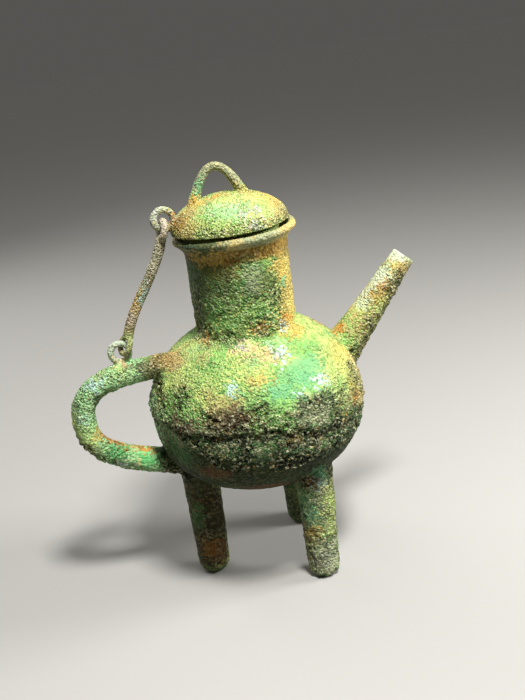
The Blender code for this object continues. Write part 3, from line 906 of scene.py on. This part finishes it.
# Patches of colour on the vessel: a tone, its strength, its centre and its reach
VESSEL_PATCHES = [
    # shoulder
    (TAN, 0.8, (-44, -8, 139), (10, 12, 6)),
    (OCHRE, 0.7, (-48, -6, 143), (9, 12, 3)),
    (SALMON, 0.75, (-8, -34, 147), (9, 8, 3)),
    (LILAC, 0.7, (-9, -33, 148), (4.5, 4, 2)),
    (SALMON, 0.75, (5, -40, 144), (9, 7, 4)),
    (OCHRE, 0.85, (4, -29, 155), (6, 5, 3)),
    (ORANGE, 0.8, (-25, -14, 151), (6, 6, 2)),
    (ORANGE, 0.8, (21, -22, 157), (5, 5, 5)),
    (OCHRE, 0.8, (22, -24, 151), (10, 10, 5)),
    (PALE_BLUE, 0.9, (19, -24, 153), (3, 3, 3)),
    (MINT, 0.8, (12, -36, 148), (6, 6, 4)),
    (PALE_BLUE, 0.85, (12, -40, 144), (5, 4, 2.5)),
    (PALE_BLUE, 0.85, (9, -47, 138), (2.5, 3, 2)),
    (OCHRE, 0.7, (-3, -50, 134), (8, 5, 3)),
    (TURQUOISE, 0.7, (23, -47, 134), (12, 9, 8)),
    (TURQUOISE, 0.75, (5, -56, 127), (9, 6, 6)),
    (PALE_BLUE, 0.7, (-18, -51, 130), (3.5, 3, 3)),
    (PALE_BLUE, 0.65, (17, -55, 125), (4, 3, 2.5)),
    (PALE_BLUE, 0.65, (30, -50, 126), (6, 5, 2.5)),
    (YELLOW_GREEN, 0.75, (46, -30, 130), (13, 16, 16)),
    (OCHRE, 0.5, (50, -26, 128), (10, 14, 14)),
    # Amber and cream on the body's side towards the spout: its own ochre crust, made lighter as painted
    # light.
    (AMBER, 0.9, (57, -28, 116), (9, 18, 17)),
    (CREAM, 0.4, (58, -28, 114), (8, 15, 13)),
    (ORANGE, 0.85, (51, -38, 111), (6, 8, 8)),
    (ORANGE, 0.6, (42, -48, 101), (3, 3, 3)),
    # belly
    (LEAF_GREEN, 0.85, (-47, -30, 121), (12, 14, 7)),
    (TAN, 0.6, (-24, -52, 124), (11, 8, 4)),
    (PURPLE_BROWN, 0.9, (-46, -37, 113), (9, 10, 5)),
    (PURPLE_BROWN, 0.9, (-23, -55, 117), (13, 10, 7)),
    (LEAF_GREEN, 0.85, (0, -60, 117), (10, 8, 8)),
    (GREY_GREEN, 0.7, (24, -58, 114), (15, 12, 8)),
    # Painted shadow under the crust's ledge round the belly, lower towards the spout.
    (NEAR_BLACK, 0.8, (-18, -58, 106), (34, 20, 3)),
    (NEAR_BLACK, 0.75, (24, -56, 99), (24, 18, 4)),
    (DARK_GREEN, 0.6, (-8, -58, 92), (20, 14, 3)),
    (RUST, 0.5, (8, -60, 102), (7, 6, 3)),
    (YELLOW_GREEN, 0.6, (42, -45, 112), (8, 8, 8)),
    (YELLOW_GREEN, 0.7, (52, -34, 120), (9, 14, 12)),
    (RUST, 0.45, (-34, -47, 84), (12, 10, 4)),
    # neck and lip
    (COVE_BROWN, 0.6, (-14, -26, 190), (14, 9, 6)),
    (GREY_GREEN, 0.7, (3, -29, 184), (7, 6, 8)),
    (BROWN, 0.6, (11, -27, 178), (5, 6, 12)),
    (OCHRE, 0.6, (20, -22, 186), (6, 8, 8)),
    (OLIVE, 0.75, (-18, -22, 182), (13, 14, 18)),
    (MALACHITE, 0.6, (-20, -22, 166), (10, 12, 8)),
    (OLIVE, 0.75, (-28, -8, 178), (8, 14, 26)),
    (TURQUOISE, 0.9, (22, -21, 178), (3.5, 3.5, 3.5)),
    # Dark green on the lip's left: a greener lip, darkened further as painted shade.
    (DARK_GREEN, 0.85, (-24, -25, 205), (15, 16, 4)),
    (OCHRE, 0.6, (-20, -22, 197), (16, 14, 4)),
    (LEAF_GREEN, 0.6, (-10, -27, 166), (20, 14, 9)),
    (OCHRE, 0.8, (24, -20, 197), (8, 10, 4)),
    (AMBER, 0.5, (30, -16, 206), (12, 14, 5)),
    # handle and its ring
    (PURPLE_BROWN, 0.7, (-58, -6, 136), (8, 9, 7)),
    (TAN, 0.7, (-48, -6, 141), (8, 8, 6)),
    (PALE_BLUE, 0.85, (-91, -5, 133), (6, 5, 4)),
    (PALE_BLUE, 0.85, (-99.5, -7, 115), (4, 4, 4)),
    # Mint on the handle's back: its own mint, made lighter as painted light.
    (MINT, 0.6, (-98, -4, 122), (8, 8, 14)),
    (EMERALD, 0.85, (-84, -7, 90), (9, 6, 5)),
    (ORANGE, 0.95, (-86, 0, 98), (7, 6, 4)),
    (ORANGE, 0.95, (-76, -1, 93), (9, 6, 3)),
    (ORANGE, 0.9, (-66, -1, 89), (10, 6, 3)),
    (OCHRE, 0.7, (-93, -2, 103), (4, 6, 6)),
    # Mint on the top of the lower arm: its own mint, made lighter as painted light.
    (MINT, 0.7, (-74, -7, 84), (14, 5, 4)),
    (EMERALD, 0.9, (-69, -7, 82), (9, 6, 5)),
    (SALMON, 0.6, (-76, -8, 82), (5, 4, 3)),
    (PALE_BLUE, 0.6, (-81, -6, 81), (5, 4, 3)),
    (ASH, 0.9, (-72, 0, 151.5), (11, 6, 9)),
    (SALMON, 0.8, (-73, -2, 143.5), (5, 6, 2.5)),
    # spout
    (ORANGE, 0.9, (56, -3, 138.5), (4, 6, 4)),
    (FROST, 0.6, (73, -4, 154), (7, 6, 7)),
    (FROST, 0.7, (83, -3, 164), (7, 6, 8)),
    (OCHRE, 0.9, (80, -8, 155), (5, 4, 5)),
    (ORANGE, 0.7, (85, -8, 160), (4, 4, 4)),
    (FROST, 0.7, (95, -3, 177), (9, 8, 6)),
    (AMBER, 0.7, (93, -7, 170), (5, 4, 5)),
    (NEAR_BLACK, 0.6, (93, -8, 161), (4, 4, 4)),
    (NEAR_BLACK, 0.5, (88, -8.5, 154.5), (5, 4, 4)),
    # legs and underside
    (TURQUOISE, 0.7, (13, -42, 46), (8, 7, 14)),
    (YELLOW_GREEN, 0.4, (29, -43, 46), (6, 9, 20)),
    (TURQUOISE, 0.5, (21, -46, 71), (7, 6, 5)),
    (PALE_BLUE, 0.45, (23, -46, 64), (5, 5, 4)),
    (RUST, 0.8, (17, -45, 66), (5, 6, 4)),
    (OCHRE, 0.7, (15, -43, 31), (5, 6, 6)),
    (FROST, 0.45, (22, -45, 14), (9, 7, 13)),
    # Peat brown on the leg on the handle's side: its own brown, darkened further as painted shadow of
    # the belly.
    (SHADOWED_PEAT, 0.95, (-40, -8, 34), (15, 14, 36)),
    (SHADOWED_PEAT, 0.7, (-33, -12, 50), (7, 8, 14)),
    (MALACHITE, 0.5, (-47, -11, 41), (5, 7, 13)),
    (RUST, 0.4, (-35, -12, 15), (6, 7, 9)),
    (COVE_BROWN, 0.5, (-41, -12, 19), (5, 6, 7)),
    (RUST, 0.5, (-8, -46, 69), (16, 10, 4)),
    (MALACHITE, 0.6, (-50, -32, 92), (8, 10, 8)),
    (DARK_GREEN, 0.7, (20, 32, 30), (16, 16, 50)),
]

# The hidden side has some of the front's patches again, half a turn round the body.
BACK_PATCHES = [
    (tone, 0.9 * strength, (-x, -y, z + 3.0), reach)
    for tone, strength, (x, y, z), reach in VESSEL_PATCHES[::2]
    if math.hypot(x, y) > 20.0 and abs(x) < 54.0
]

ewer.data.materials.append(crusted_bronze("vessel_crust", vessel_ground, VESSEL_PATCHES + BACK_PATCHES,
                                          VESSEL_COLOUR_GRAIN, 1.0))
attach(ewer, "root")
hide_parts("ewer")

# The lid
# A thin cast dome with a seating ring under it, a bent loop on top and a small ring at its edge, all one
# piece. It rests in the mouth and lifts off.

LID_RADIUS = 33.3
LID_RISE = 18.2
LID_WALL = 2.6
LID_LIFT = 1.7
LID_SHIFT = 1.7
LID_TILT = math.radians(1.1)
DOME_FULLNESS = 2.0
SEAT_DEPTH = 7.5
SEAT_WALL = 2.2
SEAT_CLEARANCE = 0.4
LOOP_WIRE = 2.4
LOOP_FOOT_WIRE = 3.8
LOOP_RISE = 17.4
LOOP_REAR_FOOT = 18.5
LOOP_FRONT_FOOT = 10.5
LOOP_REAR_BEND_SHARES = (0.52, 1.03)
LOOP_FRONT_BEND_SHARES = (0.17, 0.97)
LID_RING_RADIUS = 5.4
LID_RING_WIRE = 2.0
LID_RING_RISE = 9.5
LID_RING_OVERHANG = 2.7
LID_SIDES = 120
LID_MESH_STEP = 0.45
LID_TRIANGLES = 150000
LID_CRUST_GRAIN = 1.4
LID_CRUST_RELIEF = 0.30
LID_COLOUR_GRAIN = 1.15
LOOP_FROM_Z = 231.0
LID_RING_FROM_X = -36.0

LID_PLACE = Vector((-LID_SHIFT, 0.0, RIM_Z + LID_LIFT))
LID_SEAT = Matrix.Translation(LID_PLACE) @ Matrix.Rotation(-LID_TILT, 4, "Y")
LID_RING_CENTRE = Vector((-LID_RADIUS - LID_RING_OVERHANG, 0.0, LID_RING_RISE))
SEAT_RADIUS = mouth_radius(LID_PLACE.z - SEAT_DEPTH) - LID_SHIFT - SEAT_CLEARANCE


def lid_outside():
    """Dome and seating ring, with the groove between them, still solid in the middle."""
    inner = LID_RADIUS - LID_WALL
    profile = [(0.0, LID_RISE)] + arc((0.0, 0.0), (LID_RADIUS, LID_RISE), 90, 0, 32)[1:]
    stop = math.degrees(math.acos(SEAT_RADIUS / inner))
    profile += arc((0.0, 0.0), (inner, LID_RISE - LID_WALL), 0, stop, 6)
    profile += [(SEAT_RADIUS, -SEAT_DEPTH), (0.0, -SEAT_DEPTH)]
    return turned("lid", profile, LID_SIDES)


def lid_hollow():
    """The space under the dome, inside the seating ring."""
    seat_inside = SEAT_RADIUS - SEAT_WALL
    below = -2.0 * SEAT_DEPTH
    size = (LID_RADIUS - LID_WALL, LID_RISE - LID_WALL)
    stop = math.degrees(math.acos(seat_inside / size[0]))
    profile = [(0.0, size[1])] + arc((0.0, 0.0), size, 90, stop, 20)[1:]
    profile += [(seat_inside, below), (0.0, below)]
    return turned("lid_hollow", profile, LID_SIDES)


def loop_mesh():
    """Carrying loop, a bent bar whose feet widen into the dome."""
    rear = Vector((-LOOP_REAR_FOOT, 0.0,
                   half_oval(LOOP_REAR_FOOT, LID_RADIUS, LID_RISE, DOME_FULLNESS) - LID_WALL))
    front = Vector((LOOP_FRONT_FOOT, 0.0,
                    half_oval(LOOP_FRONT_FOOT, LID_RADIUS, LID_RISE, DOME_FULLNESS) - LID_WALL))
    crown = LID_RISE + LOOP_RISE - LOOP_WIRE
    pull = (8.0 * crown - rear.z - front.z) / 6.0
    rear_in, rear_up = LOOP_REAR_BEND_SHARES
    front_in, front_up = LOOP_FRONT_BEND_SHARES
    rear_bend = Vector((-rear_in * LOOP_REAR_FOOT, 0.0, rear_up * pull))
    front_bend = Vector((front_in * LOOP_FRONT_FOOT, 0.0, front_up * pull))
    steps = 36
    points = bezier(rear, rear_bend, front_bend, front, steps)
    spread = LOOP_FOOT_WIRE - LOOP_WIRE
    radii = [LOOP_WIRE + spread * abs(2.0 * n / steps - 1.0) ** 3 for n in range(steps + 1)]
    return bar("loop", points, radii, 20)


lid_ring = ring_mesh("lid_ring", LID_RING_CENTRE, LID_RING_RADIUS, LID_RING_WIRE)
lid_mesh = joined_and_cut("lid", lid_outside(), [loop_mesh(), lid_ring], [lid_hollow()])
lid_mesh.transform(Matrix.Translation(AXIS) @ LID_SEAT)
lid_mesh = even_mesh("lid", lid_mesh, LID_MESH_STEP)


def lid_roughness(point, normal):
    """Even fine grains on the dome, rougher towards its edge, and less on the bars."""
    vary = 0.8 + 0.6 * noise.noise(point / 9.0)
    if point.z < RIM_Z or normal.z < -0.35:
        return 0.08
    if point.z > LOOP_FROM_Z or point.x < LID_RING_FROM_X:
        return 0.40 * vary
    return (0.5 + 0.35 * ease(point.z, 219.0, 212.0)) * vary


def lid_swell(point):
    return 0.22 * noise.noise(point / 14.0) + 0.10 * noise.noise(point / 5.0)


lid_mesh = crusted(lid_mesh, lid_roughness, lid_swell, LID_CRUST_GRAIN, LID_CRUST_RELIEF,
                   neighbours("ewer", "lid_link"))
lid_mesh = thinned("lid", lid_mesh, LID_TRIANGLES)
lid = placed("lid_crusted", lid_mesh)


def lid_ground(finish, place, wide, shades):
    """Ground colour of the lid: yellow-green, with leaf green and ochre clouds."""
    red, green = shades[:2]
    slow = finish.clouds(wide, 12.0)
    other = finish.clouds(finish.vector("ADD", wide, (30.0, 80.0, 10.0)), 8.0)
    colour = finish.over(LEAF_GREEN, YELLOW_GREEN, slow + red * 0.2, 0.42, 0.70)
    colour = finish.over(colour, TAN, other + green * 0.2, 0.56, 0.78, 0.75)
    x, _, z = finish.parts(place)
    bars = finish.over(GREY_GREEN, TAN, other + red * 0.2, 0.5, 0.8, 0.6)
    colour = finish.over(colour, bars, z, LOOP_FROM_Z - 2.0, LOOP_FROM_Z + 2.0)
    return finish.over(colour, bars, x, LID_RING_FROM_X + 1.0, LID_RING_FROM_X - 2.0)


LID_PATCHES = [
    (OCHRE, 0.6, (-24, -14, 214), (9, 12, 7)),
    (TAN, 0.6, (26, -14, 215), (8, 12, 6)),
    (MINT, 0.8, (-4, -22, 221), (12, 9, 4)),
    (LEAF_GREEN, 0.45, (-12, -24, 217), (12, 8, 6)),
    (YELLOW_GREEN, 0.8, (3, -15, 225), (10, 7, 3)),
    (LILAC, 0.7, (4, -29, 218.5), (3, 4, 2)),
    (LILAC, 0.7, (11, -26, 219), (3.5, 4, 2.5)),
    (LILAC, 0.6, (9, -32, 213), (7, 4, 2)),
    (OCHRE, 0.7, (24, -6, 221), (8, 14, 6)),
    (COVE_BROWN, 0.8, (-29, -6, 217), (6, 9, 6)),
    (ORANGE, 0.8, (-10, -4, 227), (14, 4, 2)),
    (OCHRE, 0.7, (-20, -6, 223), (8, 8, 4)),
    (OCHRE, 0.5, (12, -4, 227), (8, 6, 3)),
    (TURQUOISE, 0.85, (-13, -2, 233), (4, 4, 6)),
    (ORANGE, 0.6, (-33, -3, 217), (4, 5, 6)),
    (ASH, 0.9, (-38, 0, 222.5), (8, 6, 7)),
]

lid.data.materials.append(crusted_bronze("lid_crust", lid_ground, LID_PATCHES, LID_COLOUR_GRAIN, 0.8))
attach(lid, "root")
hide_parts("lid")

# The link
# One bent bronze rod whose two ends are closed to eyes. It hangs in the lid's ring and holds the
# handle's ring, so that the lid can't be lost.

ROD_RADIUS = 3.0
UPPER_EYE_WIRE = 2.1
LOWER_EYE_WIRE = 1.6
UPPER_EYE_ROOM = (1.5, 0.9)
LOWER_EYE_ROOM = (2.8, 0.9)
UPPER_EYE_LEAN = math.radians(16)
LOWER_EYE_LEAN = math.radians(28)
UPPER_EYE_TURN = math.radians(8)
LOWER_EYE_TURN = math.radians(24)
ROD_FOOT_LEAN = math.radians(17)
ROD_BOW_SHARE = 0.33
LINK_CLEARANCE = 0.3
LINK_MESH_STEP = 0.35
LINK_CRUST_GRAIN = 1.1
LINK_CRUST_RELIEF = 0.17
LINK_COLOUR_GRAIN = 0.9


def eye_axes(lean, turn):
    """Directions across and down an eye that leans towards the handle and is turned about the rod."""
    down = Vector((-math.sin(lean), 0.0, -math.cos(lean)))
    across = Matrix.Rotation(turn, 3, -down) @ Vector((0.0, 1.0, 0.0))
    return across, down


across_top, down_top = eye_axes(UPPER_EYE_LEAN, UPPER_EYE_TURN)
across_low, down_low = eye_axes(LOWER_EYE_LEAN, LOWER_EYE_TURN)
hang = LID_RING_RADIUS - LID_RING_WIRE - UPPER_EYE_WIRE - LINK_CLEARANCE
beside = (HANDLE_RING_WIRE + LOWER_EYE_WIRE + LINK_CLEARANCE) / math.cos(LOWER_EYE_TURN)
hook = LID_SEAT @ LID_RING_CENTRE + down_top * hang
foot = HANDLE_RING_CENTRE + Vector((-down_low.z, 0.0, down_low.x)) * (HANDLE_RING_RADIUS - beside)
upper_long = LID_RING_RADIUS - hang + LID_RING_WIRE + UPPER_EYE_WIRE + UPPER_EYE_ROOM[1]
lower_long = HANDLE_RING_RADIUS + HANDLE_RING_WIRE + LOWER_EYE_WIRE + LOWER_EYE_ROOM[1]
upper_half_wide = LID_RING_WIRE + UPPER_EYE_WIRE + 0.5 * UPPER_EYE_ROOM[0]
lower_half_wide = HANDLE_RING_WIRE + LOWER_EYE_WIRE + 0.5 * LOWER_EYE_ROOM[0]
rod_start = down_top * upper_long
rod_end = foot - hook - down_low * lower_long
down_rod = Vector((-math.sin(ROD_FOOT_LEAN), 0.0, -math.cos(ROD_FOOT_LEAN)))
pull = ROD_BOW_SHARE * (rod_end - rod_start).length
path = bezier(rod_start, rod_start + down_top * pull, rod_end - down_rod * pull, rod_end, 36)
upper_eye = oval_bar("upper_eye", 0.5 * rod_start, across_top * upper_half_wide, 0.5 * rod_start,
                     UPPER_EYE_WIRE)
lower_eye = oval_bar("lower_eye", 0.5 * (rod_end + foot - hook), across_low * lower_half_wide,
                     down_low * 0.5 * lower_long, LOWER_EYE_WIRE)
link_mesh = joined_and_cut("lid_link", bar("rod", path, [ROD_RADIUS] * len(path), 24),
                           [upper_eye, lower_eye], [])
link_mesh.transform(Matrix.Translation(AXIS + hook))
link_mesh = even_mesh("lid_link", link_mesh, LINK_MESH_STEP)


def link_roughness(point, normal):
    """Pitted rod, with smoother eyes."""
    on_rod = ease(point.z, 208.0, 203.0) * ease(point.z, 158.0, 163.0)
    return 0.30 + 0.35 * on_rod * (0.8 + 0.8 * noise.noise(point / 7.0))


def link_swell(point):
    return 0.22 * noise.noise(point / 7.0)


link_mesh = crusted(link_mesh, link_roughness, link_swell, LINK_CRUST_GRAIN, LINK_CRUST_RELIEF,
                    neighbours("ewer", "lid"))
link = placed("link_crusted", link_mesh)


BUFF = tint(150, 128, 96)
ROSE_GREY = tint(190, 176, 154)


def link_ground(finish, place, wide, shades):
    """Ground colour of the link: pale grey-green and tan."""
    slow = finish.clouds(wide, 8.0)
    return finish.over(GREY_GREEN, BUFF, slow, 0.38, 0.62)


LINK_PATCHES = [
    (ROSE_GREY, 0.45, (-45, 0, 198), (9, 8, 14)),
    (ROSE_GREY, 0.85, (-37, -3, 215), (7, 8, 8)),
    (OCHRE, 0.75, (-58, -1, 177), (3, 6, 12)),
    (PALE_BLUE, 0.65, (-52, -1, 177), (3, 6, 8)),
    (ROSE_GREY, 0.5, (-62, -1, 167), (5, 6, 6)),
    (YELLOW_GREEN, 0.5, (-67, -3, 154), (7, 8, 8)),
]

link.data.materials.append(crusted_bronze("link_crust", link_ground, LINK_PATCHES,
                                          LINK_COLOUR_GRAIN, 0.8))
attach(link, "root")
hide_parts("lid_link")

# The camera
# It stands where the photograph was taken from: in front and a little to the handle's side, looking
# down, and rolled slightly.

CAMERA_FOCAL_PIXELS = 926.8
IMAGE_LONG_SIDE = 700
SENSOR = 36.0
CAMERA_DISTANCE = 511.51
CAMERA_HEIGHT = 309.79
CAMERA_YAW = 0.01383
CAMERA_PITCH = 0.33220
CAMERA_ROLL = -0.13416
OBJECT_TURN = 0.17051

forward = Vector((math.sin(CAMERA_YAW) * math.cos(CAMERA_PITCH),
                  math.cos(CAMERA_YAW) * math.cos(CAMERA_PITCH), -math.sin(CAMERA_PITCH)))
level = Vector((math.cos(CAMERA_YAW), -math.sin(CAMERA_YAW), 0.0))
upright = level.cross(forward)
right = math.cos(CAMERA_ROLL) * level + math.sin(CAMERA_ROLL) * upright
up = -math.sin(CAMERA_ROLL) * level + math.cos(CAMERA_ROLL) * upright
turn_back = Matrix.Rotation(-OBJECT_TURN, 3, "Z")
axes = Matrix([turn_back @ right, turn_back @ up, turn_back @ -forward]).transposed()
eye = turn_back @ Vector((0.0, -CAMERA_DISTANCE, CAMERA_HEIGHT)) + AXIS

view = bpy.data.cameras.new("camera")
view.sensor_width = SENSOR
view.lens = SENSOR * CAMERA_FOCAL_PIXELS / IMAGE_LONG_SIDE
view.clip_start = 0.01
camera = shown("camera", view)
camera.matrix_world = Matrix.Translation(eye * 0.001) @ axes.to_4x4()
bpy.context.scene.camera = camera

# The floor and the light
# A plain pale floor, a bright lamp above in front, a weaker one on the spout's side, a wide one behind
# and a broad soft light from straight above. The sky has the far floor's own grey, so no line shows.

FLOOR_HALF = 12.0
FLOOR_TONE = tint(150, 148, 143)
SKY_TONE = (1.0, 0.97, 0.91, 1.0)
SKY_STRENGTH = 0.092
LIGHT_AIM = Vector((0.0, 0.0, 0.11))

work = bmesh.new()
bmesh.ops.create_grid(work, x_segments=1, y_segments=1, size=FLOOR_HALF)
floor_mesh = bpy.data.meshes.new("floor")
work.to_mesh(floor_mesh)
work.free()
floor = shown("floor", floor_mesh)
floor_finish = Finish("floor_paper")
floor_finish.feed(floor_finish.shader.inputs["Base Color"], FLOOR_TONE)
floor_finish.feed(floor_finish.shader.inputs["Roughness"], 0.9)
floor.data.materials.append(floor_finish.material)


def soft_light(name, place, size, power):
    """Square light of a size in metres that faces the middle of the ewer."""
    lamp = bpy.data.lights.new(name, "AREA")
    lamp.size = size
    lamp.energy = power
    thing = shown(name, lamp)
    aim = LIGHT_AIM - Vector(place)
    thing.matrix_world = Matrix.Translation(place) @ aim.to_track_quat("-Z", "Y").to_matrix().to_4x4()


soft_light("key_light", (0.10, -0.38, 0.88), 0.15, 14.8)
soft_light("side_light", (0.75, -0.15, 0.55), 0.30, 8.8)
soft_light("back_light", (-0.50, 0.70, 0.60), 0.60, 4.5)

sky_light = bpy.data.lights.new("sky_light", "SUN")
sky_light.energy = 0.62
sky_light.angle = math.radians(60)
shown("sky_light", sky_light)

world = bpy.data.worlds.new("studio")
world.use_nodes = True
sky = world.node_tree.nodes["Background"]
sky.inputs["Color"].default_value = SKY_TONE
sky.inputs["Strength"].default_value = SKY_STRENGTH
bpy.context.scene.world = world
bpy.context.scene.view_settings.view_transform = "Standard"
